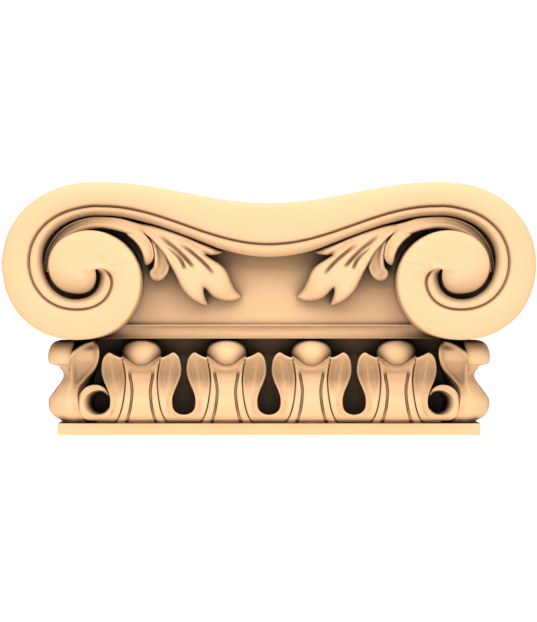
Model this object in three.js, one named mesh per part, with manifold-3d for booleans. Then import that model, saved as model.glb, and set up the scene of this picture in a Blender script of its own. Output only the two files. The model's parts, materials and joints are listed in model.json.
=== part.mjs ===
// Ionic pilaster capital, carved in one piece with a flat back that stands against the wall.
// Millimetres, +Z up. X runs along the width, the front faces -Y, and the wall face is at y = wallY.
// "Out" is a distance in front of the wall; "proud" is a distance in front of the fillet below the leaves.
import * as THREE from 'three';
import { mergeVertices } from 'three/addons/utils/BufferGeometryUtils.js';
import Module from 'manifold-3d';

const wasm = await Module();
wasm.setup();

// Whole piece
const wallY = 38;

// Fillet and leaf course
const filletHalfWidth = 106;
const filletOut = 64;
const filletTop = 5.9;
const cornerRadius = 9;
const pitch = 42.7;
const courseTop = 48.5;
const bedInset = 16;
const eggHalfWidth = 10.1;
const eggHalfHeight = 7.6;
const eggOutReach = 8.5;
const eggZ = 41;

// Ground and cavetto
const groundOut = 58;
const groundHalfWidth = 98;
const blockTopHalfWidth = 92;
const cavettoTop = 55.5;

// Scrolls
const faceOut = 75;
const crown = 1;
const scrollX = 98;
const scrollZ = 82.2;
const humpX = 84;
const plateBack = 61;
const channelOut = 63;

// Cleaning of the joined surface
const shortestEdge = 0.12;
const flatSlack = 0.0004;
const cleaningPasses = 12;

const radians = THREE.MathUtils.degToRad;
const lerp = THREE.MathUtils.lerp;
const clamp = THREE.MathUtils.clamp;

// A smooth function through a few [position, value] stops.
function throughStops(stops) {
  const last = stops.length - 1;
  const slope = (i) => {
    const before = stops[Math.max(i - 1, 0)];
    const after = stops[Math.min(i + 1, last)];
    return (after[1] - before[1]) / (after[0] - before[0]);
  };
  return (position) => {
    const p = clamp(position, stops[0][0], stops[last][0]);
    let i = 0;
    while (i < last - 1 && p > stops[i + 1][0]) i += 1;
    const span = stops[i + 1][0] - stops[i][0];
    const t = (p - stops[i][0]) / span;
    const hermite = [2 * t ** 3 - 3 * t ** 2 + 1, t ** 3 - 2 * t ** 2 + t, 3 * t ** 2 - 2 * t ** 3, t ** 3 - t ** 2];
    return hermite[0] * stops[i][1] + hermite[1] * span * slope(i)
      + hermite[2] * stops[i + 1][1] + hermite[3] * span * slope(i + 1);
  };
}

// A smooth line through [x, z] points, as a function of 0 to 1.
function throughPoints(points) {
  const curve = new THREE.SplineCurve(points.map(([x, z]) => new THREE.Vector2(x, z)));
  return (t) => {
    const point = curve.getPoint(t);
    return [point.x, point.y];
  };
}

// A manifold-3d solid from positions and triangles, turned outside out where it needs it.
function closedSolid(positions, triangles) {
  let volume = 0;
  for (const [a, b, c] of triangles) {
    const [p, q, r] = [positions[a], positions[b], positions[c]];
    volume += p[0] * (q[1] * r[2] - q[2] * r[1]) - p[1] * (q[0] * r[2] - q[2] * r[0]) + p[2] * (q[0] * r[1] - q[1] * r[0]);
  }
  const outward = volume > 0 ? triangles : triangles.map(([a, b, c]) => [a, c, b]);
  const vertProperties = new Float32Array(positions.flat());
  const triVerts = new Uint32Array(outward.flat());
  return new wasm.Manifold(new wasm.Mesh({ numProp: 3, vertProperties, triVerts }));
}

// A solid between a front sheet and a back sheet. Each sheet gives [x, out, z] for u across and v along.
function sheetSolid(front, back, columns, rows) {
  const positions = [];
  const triangles = [];
  const perSheet = (columns + 1) * (rows + 1);
  const at = (sheet, i, j) => sheet * perSheet + j * (columns + 1) + i;
  for (const sheet of [front, back]) {
    for (let j = 0; j <= rows; j += 1) {
      for (let i = 0; i <= columns; i += 1) {
        const [x, out, z] = sheet(i / columns, j / rows);
        positions.push([x, wallY - out, z]);
      }
    }
  }
  const quad = (a, b, c, d) => triangles.push([a, b, c], [a, c, d]);
  for (let j = 0; j < rows; j += 1) {
    for (let i = 0; i < columns; i += 1) {
      quad(at(0, i, j), at(0, i + 1, j), at(0, i + 1, j + 1), at(0, i, j + 1));
      quad(at(1, i, j + 1), at(1, i + 1, j + 1), at(1, i + 1, j), at(1, i, j));
    }
    quad(at(0, 0, j), at(0, 0, j + 1), at(1, 0, j + 1), at(1, 0, j));
    quad(at(0, columns, j + 1), at(0, columns, j), at(1, columns, j), at(1, columns, j + 1));
  }
  for (let i = 0; i < columns; i += 1) {
    quad(at(0, i + 1, 0), at(0, i, 0), at(1, i, 0), at(1, i + 1, 0));
    quad(at(0, i, rows), at(0, i + 1, rows), at(1, i + 1, rows), at(1, i, rows));
  }
  return closedSolid(positions, triangles);
}

// A solid skinned over closed rings of [x, out, z] points, with a fan over each end ring.
function ringSolid(rings, startCentre, endCentre) {
  const count = rings[0].length;
  const points = [startCentre, ...rings.flat(), endCentre];
  const positions = points.map(([x, out, z]) => [x, wallY - out, z]);
  const at = (ring, i) => 1 + ring * count + (i % count);
  const triangles = [];
  for (let i = 0; i < count; i += 1) {
    triangles.push([0, at(0, i + 1), at(0, i)]);
    triangles.push([positions.length - 1, at(rings.length - 1, i), at(rings.length - 1, i + 1)]);
    for (let ring = 0; ring < rings.length - 1; ring += 1) {
      triangles.push([at(ring, i), at(ring, i + 1), at(ring + 1, i + 1)]);
      triangles.push([at(ring, i), at(ring + 1, i + 1), at(ring + 1, i)]);
    }
  }
  return closedSolid(positions, triangles);
}

// A solid from one of the library's closed geometries.
function geometrySolid(source) {
  const bare = source.clone();
  bare.deleteAttribute('normal');
  bare.deleteAttribute('uv');
  const merged = mergeVertices(bare, 1e-3);
  const { array } = merged.attributes.position;
  const index = merged.index.array;
  const positions = [];
  const triangles = [];
  for (let i = 0; i < array.length; i += 3) positions.push([array[i], array[i + 1], array[i + 2]]);
  for (let i = 0; i < index.length; i += 3) {
    const [a, b, c] = [index[i], index[i + 1], index[i + 2]];
    if (a !== b && b !== c && c !== a) triangles.push([a, b, c]);
  }
  return closedSolid(positions, triangles);
}

function block(x0, x1, out0, out1, z0, z1) {
  const box = new THREE.BoxGeometry(x1 - x0, out1 - out0, z1 - z0);
  box.translate((x0 + x1) / 2, wallY - (out0 + out1) / 2, (z0 + z1) / 2);
  return geometrySolid(box);
}

// --- Scroll band -------------------------------------------------------------------------------

// Height of the saddle-shaped lines over the middle, rising to the hump over each volute.
function saddle(middle, hump) {
  return (x) => middle + (hump - middle) * (1 - Math.cos(Math.PI * Math.min(Math.abs(x) / humpX, 1))) / 2;
}

// Radii about the volute's eye, in degrees round from the level line that points to the middle.
const edgeRadius = throughStops([
  [72.5, 46.65], [90, 43.5], [135, 38.9], [180, 35.4], [225, 34.6], [270, 34.4], [315, 36.1], [360, 33.2],
  [405, 25.6], [450, 18.9], [495, 14.9], [540, 12.3], [585, 11.3], [630, 11.2], [675, 13], [720, 11.1],
]);
const bandRadius = throughStops([
  [67.1, 36], [90, 31.5], [135, 26.5], [180, 22.5], [225, 20.5], [270, 20], [315, 22], [340, 20.6], [360, 13],
]);
const beadRadius = throughStops([
  [63.2, 31], [90, 25.5], [135, 19.3], [180, 14.5], [225, 13.5], [270, 14], [315, 15], [340, 14], [360, 12],
]);

// A line of the scroll: the saddle to the hump, then round the volute. side is -1 left, +1 right.
function scrollLine(height, radius, firstAngle, lastAngle) {
  const saddleShare = 0.3;
  return (t, side) => {
    if (t < saddleShare) {
      const x = humpX * t / saddleShare;
      return [side * x, height(x)];
    }
    const angle = lerp(firstAngle, lastAngle, (t - saddleShare) / (1 - saddleShare));
    const r = radius(angle);
    return [side * (scrollX - r * Math.cos(radians(angle))), scrollZ + r * Math.sin(radians(angle))];
  };
}

const scrollTopLine = scrollLine(saddle(116.2, 126.7), edgeRadius, 72.5, 366);
const bandLine = scrollLine(saddle(96.4, 115.4), bandRadius, 67.1, 366);
const beadLine = scrollLine(saddle(89.3, 109.9), beadRadius, 63.2, 362);

// Between two lines of the scroll.
function between(first, second, share) {
  return (t, side) => {
    const [a, b] = [first(t, side), second(t, side)];
    return [lerp(a[0], b[0], share), lerp(a[1], b[1], share)];
  };
}

// The band and the bead under it, running through the middle into both volutes.
function scroll() {
  const stations = [
    [scrollTopLine, faceOut],
    [between(scrollTopLine, bandLine, 0.5), faceOut + crown],
    [bandLine, faceOut],
    [between(bandLine, beadLine, 0.15), faceOut - 1.6],
    [between(bandLine, beadLine, 0.6), faceOut - 2.2],
    [beadLine, faceOut - 5],
  ];
  const sheet = (outAt) => (u, v) => {
    const [line, out] = stations[Math.round(u * (stations.length - 1))];
    const [x, z] = line(Math.abs(v * 2 - 1), v < 0.5 ? -1 : 1);
    return [x, outAt ?? out, z];
  };
  return sheetSolid(sheet(), sheet(plateBack - 8), stations.length - 1, 56);
}

// The swollen end of the band, which fills the last turn of the volute.
function voluteEye(side) {
  const spokes = 30;
  const ring = (share, outAt) => {
    const points = [];
    for (let i = 0; i < spokes; i += 1) {
      const angle = i * 360 / spokes;
      const r = share * edgeRadius(360 + angle);
      const x = side * (scrollX - r * Math.cos(radians(angle)));
      points.push([x, outAt(angle), scrollZ + r * Math.sin(radians(angle))]);
    }
    return points;
  };
  const drop = (angle) => 4 * clamp((angle - 150) / 90, 0, 1);
  const rings = [
    ring(1, () => plateBack - 8),
    ring(1, (angle) => faceOut - drop(angle)),
    ring(0.75, (angle) => faceOut + 0.6 - drop(angle) / 4),
  ];
  return ringSolid(rings, [side * scrollX, plateBack - 8, scrollZ], [side * scrollX, faceOut + crown, scrollZ]);
}

// How far the body behind the scroll is drawn in from its outline: waisted, with a belt round the waist.
const waist = [[0, 1.8], [12, 2.6], [25, 4.4], [26, 3.2], [32, 3.2], [33, 4.4], [46, 2.8], [54, 1.8]];

// Outline of the whole volute, with its open side closed inside the middle block.
function voluteRadius(angle) {
  if (angle < 45) return edgeRadius(360 + angle);
  if (angle < 72) return lerp(edgeRadius(405), edgeRadius(72), (angle - 45) / 27);
  return edgeRadius(angle);
}

// The bolster behind each volute, back to the wall, and the floor of the channel in front of it.
function bolster(side) {
  const spokes = 24;
  const rings = [...waist, [channelOut, 0.8]].map(([out, inset]) => {
    const points = [];
    for (let i = 0; i < spokes; i += 1) {
      const angle = i * 360 / spokes;
      const r = voluteRadius(angle) - inset;
      points.push([side * (scrollX - r * Math.cos(radians(angle))), out, scrollZ + r * Math.sin(radians(angle))]);
    }
    return points;
  });
  return ringSolid(rings, [side * scrollX, 0, scrollZ], [side * scrollX, channelOut, scrollZ]);
}

// --- Middle block --------------------------------------------------------------------------------

function middleBlock() {
  const steps = 20;
  const top = saddle(116.2, 126.7);
  const rings = [...waist, [groundOut, 1.8]].map(([out, inset]) => {
    const points = [[-groundHalfWidth, out, cavettoTop - 4], [groundHalfWidth, out, cavettoTop - 4]];
    for (let i = 0; i <= steps; i += 1) {
      const x = lerp(blockTopHalfWidth, -blockTopHalfWidth, i / steps);
      points.push([x, out, top(x) - inset]);
    }
    return points;
  });
  return ringSolid(rings, [0, 0, scrollZ], [0, groundOut, scrollZ]);
}

// The cavetto: a thin edge, then a hollow that sweeps forward to a lip over the leaf course.
function cavetto() {
  const profile = [
    [groundOut - 2, cavettoTop], [groundOut + 2, cavettoTop - 0.1], [groundOut + 2, cavettoTop - 0.7],
    [groundOut + 0.2, 53.6], [groundOut + 0.4, 51.6], [groundOut + 1.6, 49.8], [groundOut + 3.5, courseTop],
  ];
  const front = (u, v) => {
    const [out, z] = profile[Math.round(v * (profile.length - 1))];
    return [lerp(-groundHalfWidth, groundHalfWidth, u), out, z];
  };
  const back = (u, v) => {
    const [x, , z] = front(u, v);
    return [x, 0, z];
  };
  return sheetSolid(front, back, 1, profile.length - 1);
}

// --- Acanthus leaves -------------------------------------------------------------------------------

// One lobe between two edge lines, arched between them.
function leafLobe(side, upperPoints, lowerPoints, edgeOut, ridgeOut, columns, rows) {
  const upper = throughPoints(upperPoints);
  const lower = throughPoints(lowerPoints);
  const edge = throughStops(edgeOut);
  const ridge = throughStops(ridgeOut);
  const front = (u, v) => {
    const [a, b] = [upper(v), lower(v)];
    return [side * lerp(a[0], b[0], u), lerp(edge(v), ridge(v), Math.sin(Math.PI * u)), lerp(a[1], b[1], u)];
  };
  const back = (u, v) => {
    const [x, , z] = front(u, v);
    return [x, groundOut - 4, z];
  };
  return sheetSolid(front, back, columns, rows);
}

function acanthusLeaf(side) {
  const stem = leafLobe(
    side,
    [[112.6, 84], [111, 93.5], [105.2, 101.9], [98.3, 106.6], [90.4, 109], [82.5, 109.6], [74.6, 109], [64, 107.2]],
    [[110.2, 83], [107.3, 91.4], [103.6, 95.6], [98.3, 99.3], [93, 101.9], [85.2, 103.5], [77.5, 102.6], [68, 98]],
    [[0, 66], [0.5, 68], [1, 69]],
    [[0, 66], [0.5, 69], [1, 71]],
    3,
    12,
  );
  const firstLobe = leafLobe(
    side,
    [[68, 104], [62.2, 100.5], [59.1, 94.5], [58.1, 89.8], [60.6, 85.6]],
    [[76, 102.2], [69.4, 98.8], [65.2, 94.6], [62.8, 89.8], [62.3, 85.4]],
    [[0, 68], [1, 65]],
    [[0, 70], [1, 67]],
    2,
    6,
  );
  const secondLobe = leafLobe(
    side,
    [[60, 103.5], [55.3, 96.5], [51.2, 90], [49.4, 84], [51.6, 79.3], [55.2, 77.8]],
    [[65, 103.5], [60.3, 98.5], [57.7, 91.5], [59.6, 84], [59.4, 80], [56.4, 77.8]],
    [[0, 68], [0.5, 67], [1, 63]],
    [[0, 70.5], [0.6, 70], [1, 64]],
    3,
    8,
  );
  const leftBlade = leafLobe(
    side,
    [[59, 106], [50, 100], [41, 91.5], [34.5, 83], [32.6, 74], [31.6, 69.5], [30.4, 65.6]],
    [[63, 103.5], [55.5, 96.8], [50.6, 89], [48.1, 81.7], [44.5, 73.4], [38.5, 67.6], [31.2, 65.4]],
    [[0, 69.5], [0.6, 68.5], [1, 63]],
    [[0, 71], [0.6, 72], [1, 64]],
    4,
    9,
  );
  const rightBlade = leafLobe(
    side,
    [[57, 105.2], [44, 98.3], [33, 90.8], [24.3, 85.4], [20.3, 79.7], [17.2, 73.3], [13.8, 69.9]],
    [[59, 103.5], [47, 95.5], [39, 86.5], [33.4, 77], [31.2, 71.2], [22.5, 67.6], [14, 69.2]],
    [[0, 69.5], [0.6, 68.5], [1, 63]],
    [[0, 71], [0.6, 71.5], [1, 64]],
    4,
    9,
  );
  const topLobe = leafLobe(
    side,
    [[66, 108], [52, 104.3], [40, 100.4], [30, 96], [22.9, 92.6]],
    [[60, 103], [47, 98], [38, 93.8], [31.4, 90.3], [23.2, 91.8]],
    [[0, 69.5], [1, 68]],
    [[0, 71], [1, 70]],
    3,
    7,
  );
  return [stem, firstLobe, secondLobe, leftBlade, rightBlade, topLobe];
}

// --- Egg-and-leaf course -------------------------------------------------------------------------

const straight = filletHalfWidth - cornerRadius;
const cornerLength = cornerRadius * Math.PI / 2;
const cornerMiddle = straight + cornerLength / 2;

// A point round the course: along from the middle of the front, proud of the fillet, at height z.
function roundCourse(along, proud, z) {
  const side = Math.sign(along) || 1;
  const run = Math.abs(along);
  const cornerOut = filletOut - cornerRadius;
  if (run < straight) return [along, filletOut + proud, z];
  if (run > straight + cornerLength) {
    return [side * (filletHalfWidth + proud), cornerOut - (run - straight - cornerLength), z];
  }
  const angle = (run - straight) / cornerRadius;
  const reach = cornerRadius + proud;
  return [side * (straight + reach * Math.sin(angle)), cornerOut + reach * Math.cos(angle), z];
}

// How far the carving stands proud of the fillet, from its foot to the flaring tips.
const profileProud = throughStops([
  [7, -2.4], [8.9, 0.8], [11.3, 3.2], [14.8, 4.3], [18.3, 4], [21.8, 1.5], [25.7, -1.3], [28.5, -3], [31, -3],
  [34.5, -1], [38, 2.2], [41.5, 3.6], [47.5, 4.5],
]);

function courseSheet(place, columns, rows) {
  const front = (u, v) => roundCourse(...place(u, v));
  const back = (u, v) => {
    const [along, , z] = place(u, v);
    return roundCourse(along, -bedInset, z);
  };
  return sheetSolid(front, back, columns, rows);
}

// The lobe on one side of a drop-shaped gap, from under the gap up to its tip.
function courseLobe(gapAlong, side) {
  const gapEdge = throughPoints([
    [-1, 10.3], [4.3, 11.7], [5.9, 16], [5.2, 20.5], [2.9, 26.4], [1.3, 33.5], [2, 38], [5, 41],
  ]);
  const grooveEdge = throughPoints([
    [-1, 7], [9.6, 7], [12.9, 14.3], [14.2, 22.7], [14.4, 29.7], [13, 37], [10.5, 39], [6.4, 41],
  ]);
  const place = (u, v) => {
    const [a, b] = [gapEdge(v), grooveEdge(v)];
    const z = lerp(a[1], b[1], u);
    const spoon = 1.6 * Math.sin(Math.PI * u) * clamp((v - 0.45) * 4, 0, 1);
    return [gapAlong + side * lerp(a[0], b[0], u), profileProud(z) - spoon, z];
  };
  return courseSheet(place, 2, 10);
}

// The calyx that holds an egg: a middle panel between two ribs.
function calyx(unitAlong) {
  const halfWidth = throughStops([[5.4, 13], [7, 12.4], [14.3, 9.6], [22.7, 8.4], [29.7, 8.2], [38.5, 9.8]]);
  const place = (u, v) => {
    const across = u * 2 - 1;
    const rim = 36.2 + 2.8 * across ** 2;
    const z = lerp(5.4, rim, v);
    const groove = Math.abs(Math.abs(across) - 0.6) < 0.1 ? 1 : 0;
    const bevel = v > 0.95 ? 3 : 0;
    return [unitAlong + across * halfWidth(z), profileProud(z) + 0.5 - groove - bevel, z];
  };
  return courseSheet(place, 10, 6);
}

function egg(unitAlong) {
  const shape = new THREE.SphereGeometry(1, 10, 6);
  shape.rotateX(Math.PI / 2);
  const onSide = Math.abs(unitAlong) > cornerMiddle;
  shape.scale(onSide ? eggOutReach : eggHalfWidth, onSide ? eggHalfWidth : eggOutReach, eggHalfHeight);
  const [x, out, z] = roundCourse(unitAlong, -5, eggZ);
  shape.translate(x, wallY - out, z);
  return geometrySolid(shape);
}

// The curl that rolls over the gap beside a corner leaf; side points away from the corner.
function cornerCurl(gapAlong, side) {
  const inner = throughStops([[-100, 6], [0, 6], [90, 5.6], [160, 6.2], [235, 6.6]]);
  const outer = throughStops([[-100, 9.2], [0, 9.4], [60, 10.6], [120, 9.8], [160, 9.3], [235, 7]]);
  const place = (u, v) => {
    const angle = lerp(-25, 235, v);
    const r = lerp(inner(angle), outer(angle), u);
    const along = gapAlong - side * (0.6 + r * Math.sin(radians(angle)));
    const z = Math.max(16.2 - r * Math.cos(radians(angle)), 7);
    return [along, 1.5 + 2.2 * Math.sin(Math.PI * u) - 2 * clamp((angle - 150) / 85, 0, 1), z];
  };
  return courseSheet(place, 2, 10);
}

// A sheet of the corner leaf, closed behind by drawing it in towards a point inside the corner of the bed.
function cornerSheet(side, place, columns, rows) {
  const anchorX = side * (filletHalfWidth - bedInset - 4);
  const anchorOut = filletOut - bedInset - 4;
  const front = (u, v) => {
    const [fromCorner, proud, z] = place(u, v);
    return roundCourse(side * (cornerMiddle + fromCorner), proud, z);
  };
  const back = (u, v) => {
    const [x, out, z] = front(u, v);
    return [lerp(anchorX, x, 0.05), lerp(anchorOut, out, 0.05), z];
  };
  return sheetSolid(front, back, columns, rows);
}

// The leaf folded round a corner, with a lobe on each face and its tip curled out over the corner.
function cornerLeaf(side) {
  const halfWidth = throughStops([[7, 11.5], [14, 9], [20, 8.3], [27, 10.4], [33, 14]]);
  const body = cornerSheet(side, (u, v) => {
    const z = lerp(7, 36, v);
    const across = u * 2 - 1;
    return [across * halfWidth(z), profileProud(z) - 0.8 * across ** 2, z];
  }, 6, 7);
  const outerEdge = throughPoints([[9, 25], [13.5, 29.5], [17.4, 34], [19, 40], [18.6, 44.5], [16.8, 47]]);
  const innerEdge = throughPoints([[3, 29], [3, 34], [4, 39.5], [7.5, 43.6], [11.5, 46.3], [15.4, 47.4]]);
  const lobes = [-1, 1].map((face) => cornerSheet(side, (u, v) => {
    const [a, b] = [outerEdge(v), innerEdge(v)];
    const z = lerp(a[1], b[1], u);
    return [face * lerp(a[0], b[0], u), profileProud(z) - 1.2 * Math.sin(Math.PI * u), z];
  }, 2, 6));
  const hookLine = throughPoints([
    [-1.5, 28], [-0.7, 31], [2.3, 34.3], [7, 34.9], [10.2, 36], [10.9, 39.5], [9, 43.8], [5, 46.8], [0, 47.8],
  ]);
  const hook = sheetSolid(
    (u, v) => roundCourse(side * (cornerMiddle + lerp(-4.5, 4.5, u)), ...hookLine(v)),
    (u, v) => roundCourse(side * (cornerMiddle + lerp(-4.5, 4.5, u)), 0.5 - cornerRadius, lerp(28, 47.8, v)),
    2,
    8,
  );
  return [body, ...lobes, hook];
}

function leafCourse() {
  const pieces = [];
  const sideGap = cornerMiddle * 2 - pitch * 2;
  const sideUnit = sideGap + pitch / 2;
  const wallGap = sideGap + pitch;
  for (const side of [-1, 1]) {
    for (const unit of [pitch / 2, pitch * 1.5, sideUnit]) {
      pieces.push(calyx(side * unit), egg(side * unit));
    }
    pieces.push(courseLobe(0, side));
    pieces.push(courseLobe(side * pitch, -1), courseLobe(side * pitch, 1));
    pieces.push(courseLobe(side * pitch * 2, -side), cornerCurl(side * pitch * 2, -side));
    pieces.push(courseLobe(side * sideGap, side), cornerCurl(side * sideGap, side));
    pieces.push(courseLobe(side * wallGap, -side));
    pieces.push(...cornerLeaf(side));
  }
  return pieces;
}

function build() {
  const bedHalfWidth = filletHalfWidth - bedInset + 1;
  let solid = block(-filletHalfWidth, filletHalfWidth, 0, filletOut, 0, filletTop);
  solid = solid.add(block(-bedHalfWidth, bedHalfWidth, 0, filletOut - bedInset + 1, filletTop - 1, cavettoTop));
  const pieces = [middleBlock(), cavetto(), scroll(), ...leafCourse()];
  for (const side of [-1, 1]) {
    pieces.push(bolster(side), voluteEye(side), ...acanthusLeaf(side));
  }
  for (const piece of pieces) solid = solid.add(piece);
  return solid.subtract(block(-200, 200, -60, 0, -10, 200));
}

const distance = (p, q) => Math.hypot(p[0] - q[0], p[1] - q[1], p[2] - q[2]);

// For each corner of the mesh, the triangles that meet there.
function trianglesAround(triangles) {
  const around = new Map();
  triangles.forEach((corners, index) => {
    for (const corner of corners) {
      if (!around.has(corner)) around.set(corner, []);
      around.get(corner).push(index);
    }
  });
  return around;
}

// Draws together corners closer than shortestEdge, where cut surfaces nearly meet.
function closeShortEdges(positions, triangles) {
  const around = trianglesAround(triangles);
  const neighbours = (corner) => new Set(around.get(corner).flatMap((index) => triangles[index]));
  const moved = new Set();
  const become = new Map();
  for (const [a, b, c] of triangles) {
    for (const [from, to] of [[a, b], [b, c], [c, a]]) {
      if (moved.has(from) || moved.has(to) || distance(positions[from], positions[to]) > shortestEdge) continue;
      const near = [...neighbours(from)];
      const beside = neighbours(to);
      const shared = near.filter((corner) => corner !== from && corner !== to && beside.has(corner));
      if (shared.length !== 2) continue;
      become.set(from, to);
      for (const corner of [...near, ...beside]) moved.add(corner);
    }
  }
  return triangles
    .map((corners) => corners.map((corner) => become.get(corner) ?? corner))
    .filter(([a, b, c]) => a !== b && b !== c && c !== a);
}

// Turns the long side of each flattened triangle the other way, so that no triangle is a mere line.
function turnFlatTriangles(positions, triangles) {
  const result = triangles.map((corners) => [...corners]);
  const owner = new Map();
  result.forEach(([a, b, c], index) => {
    owner.set(`${a},${b}`, index).set(`${b},${c}`, index).set(`${c},${a}`, index);
  });
  const turned = new Set();
  result.forEach((corners, index) => {
    const sides = [0, 1, 2].map((i) => [corners[i], corners[(i + 1) % 3], corners[(i + 2) % 3]]);
    const length = ([a, b]) => distance(positions[a], positions[b]);
    const [a, b, apex] = sides.reduce((longest, side) => (length(side) > length(longest) ? side : longest));
    const slack = distance(positions[a], positions[apex]) + distance(positions[apex], positions[b]) - length([a, b]);
    if (slack > flatSlack || turned.has(index)) return;
    const other = owner.get(`${b},${a}`);
    const far = result[other].find((corner) => corner !== a && corner !== b);
    if (turned.has(other) || owner.has(`${apex},${far}`) || owner.has(`${far},${apex}`)) return;
    result[index] = [a, far, apex];
    result[other] = [far, b, apex];
    for (const near of [index, other]) turned.add(near);
    owner.set(`${apex},${far}`, index).set(`${far},${apex}`, other);
  });
  return result;
}

function toGeometry(solid) {
  const { vertProperties, triVerts } = solid.getMesh();
  const positions = [];
  let triangles = [];
  for (let i = 0; i < vertProperties.length; i += 3) positions.push([...vertProperties.subarray(i, i + 3)]);
  for (let i = 0; i < triVerts.length; i += 3) triangles.push([...triVerts.subarray(i, i + 3)]);
  for (let pass = 0; pass < cleaningPasses; pass += 1) {
    triangles = turnFlatTriangles(positions, closeShortEdges(positions, triangles));
  }
  const geometry = new THREE.BufferGeometry();
  geometry.setAttribute('position', new THREE.BufferAttribute(new Float32Array(positions.flat()), 3));
  geometry.setIndex(triangles.flat());
  geometry.computeVertexNormals();
  return geometry;
}

const limewood = new THREE.MeshStandardMaterial({ color: 0xe6bd90, roughness: 0.75, metalness: 0 });
const capital = new THREE.Mesh(toGeometry(build()), limewood);
capital.name = 'capital';

const group = new THREE.Group();
group.add(capital);

export default group;
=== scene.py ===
# Carved limewood pilaster capital: a saddle-shaped band with two volutes over an egg-and-leaf course.
# Shapes are worked out in millimetres as (x, out, z), where out is the distance in front of the wall.
import json
import math

import bpy
import numpy as np
from mathutils.geometry import delaunay_2d_cdt
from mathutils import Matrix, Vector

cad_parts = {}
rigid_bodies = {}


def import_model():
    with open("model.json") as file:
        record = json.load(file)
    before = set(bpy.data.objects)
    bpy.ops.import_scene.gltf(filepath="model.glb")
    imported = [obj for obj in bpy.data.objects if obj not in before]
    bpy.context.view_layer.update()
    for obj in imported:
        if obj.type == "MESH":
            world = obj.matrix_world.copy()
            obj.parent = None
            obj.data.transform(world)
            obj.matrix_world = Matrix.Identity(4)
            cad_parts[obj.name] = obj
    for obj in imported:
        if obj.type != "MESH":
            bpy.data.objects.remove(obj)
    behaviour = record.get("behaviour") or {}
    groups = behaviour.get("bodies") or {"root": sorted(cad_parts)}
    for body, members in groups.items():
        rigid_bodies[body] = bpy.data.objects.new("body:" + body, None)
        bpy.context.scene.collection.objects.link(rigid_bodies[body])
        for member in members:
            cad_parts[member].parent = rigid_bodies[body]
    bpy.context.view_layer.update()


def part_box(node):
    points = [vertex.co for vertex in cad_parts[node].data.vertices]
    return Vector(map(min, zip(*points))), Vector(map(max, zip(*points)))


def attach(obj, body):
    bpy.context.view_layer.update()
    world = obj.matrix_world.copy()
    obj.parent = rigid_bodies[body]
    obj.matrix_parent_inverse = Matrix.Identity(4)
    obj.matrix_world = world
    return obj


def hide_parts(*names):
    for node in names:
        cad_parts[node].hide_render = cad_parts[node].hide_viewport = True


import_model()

capitalLow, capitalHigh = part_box("capital")
wallY = capitalHigh[1] * 1000
floorZ = capitalLow[2] * 1000
middleX = (capitalLow[0] + capitalHigh[0]) * 500
scene = bpy.context.scene
print("frame loaded")


def throughStops(stops):  # a smooth function through [position, value] stops
    positions, values = np.array(stops, float).T
    before, after = np.r_[0, 0:len(values) - 1], np.r_[1:len(values), len(values) - 1]
    slopes = (values[after] - values[before]) / (positions[after] - positions[before])

    def value(position):
        p = np.clip(position, positions[0], positions[-1])
        i = np.clip(np.searchsorted(positions, p, side="right") - 1, 0, len(positions) - 2)
        span = positions[i + 1] - positions[i]
        t = (p - positions[i]) / span
        return ((2 * t**3 - 3 * t**2 + 1) * values[i] + (t**3 - 2 * t**2 + t) * span * slopes[i]
                + (3 * t**2 - 2 * t**3) * values[i + 1] + (t**3 - t**2) * span * slopes[i + 1])
    return value


def throughPoints(points):  # a smooth line through points, as a function of 0 to 1
    count = len(points)
    axes = range(len(points[0]))
    lines = [throughStops([[i, point[axis]] for i, point in enumerate(points)]) for axis in axes]
    return lambda t: np.stack([line(np.asarray(t) * (count - 1)) for line in lines], -1)


def smoothStep(low, high, value):
    t = np.clip((value - low) / (high - low), 0, 1)
    return t * t * (3 - 2 * t)


def lerp(a, b, t):
    return a + (b - a) * t


def toFrame(points):  # (x, out, z) in millimetres to the row frame in metres
    points = np.asarray(points, float).reshape(-1, 3)
    return np.stack([points[:, 0] + middleX, wallY - points[:, 1], points[:, 2] + floorZ], 1) / 1000


def solid(name, places, faces, collection):  # places are in metres already
    faces = [list(face) for face in faces]
    corners = np.array([[face[0], face[i], face[i + 1]] for face in faces for i in range(1, len(face) - 1)])
    a, b, c = (places[corners[:, i]] for i in range(3))
    if (a * np.cross(b, c)).sum() < 0:
        faces = [face[::-1] for face in faces]
    mesh = bpy.data.meshes.new(name)
    mesh.from_pydata(places.tolist(), [], faces)
    made = bpy.data.objects.new(name, mesh)
    collection.objects.link(made)
    return made


def gridFaces(front):  # faces of a body between a front and a back grid of points
    rows, columns = front.shape[:2]
    index = np.arange(rows * columns).reshape(rows, columns)
    quads = np.stack([index[:-1, :-1], index[:-1, 1:], index[1:, 1:], index[1:, :-1]], -1).reshape(-1, 4)
    rim = np.concatenate([index[0, :], index[1:, -1], index[-1, -2::-1], index[-2:0:-1, 0]])
    ahead = np.roll(rim, -1)
    behind = rows * columns
    sides = np.stack([ahead, rim, rim + behind, ahead + behind], -1)
    return np.concatenate([quads, quads[:, ::-1] + behind, sides]).tolist()


def sheetSolid(name, front, back, collection, place=toFrame):
    places = np.concatenate([place(front), place(back)])
    return solid(name, places, gridFaces(front), collection)


def ringSolid(name, rings, firstCentre, lastCentre, collection, place=toFrame):
    rings = np.asarray(rings)
    count = rings.shape[1]
    places = np.concatenate([place(rings), place([firstCentre, lastCentre])])
    index = np.arange(len(rings) * count).reshape(len(rings), count)
    ahead = np.roll(index, -1, axis=1)
    quads = np.stack([index[:-1], ahead[:-1], ahead[1:], index[1:]], -1).reshape(-1, 4).tolist()
    first, last = len(places) - 2, len(places) - 1
    fans = [[first, b, a] for a, b in zip(index[0], ahead[0])]
    fans += [[last, a, b] for a, b in zip(index[-1], ahead[-1])]
    return solid(name, places, quads + fans, collection)


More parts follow.
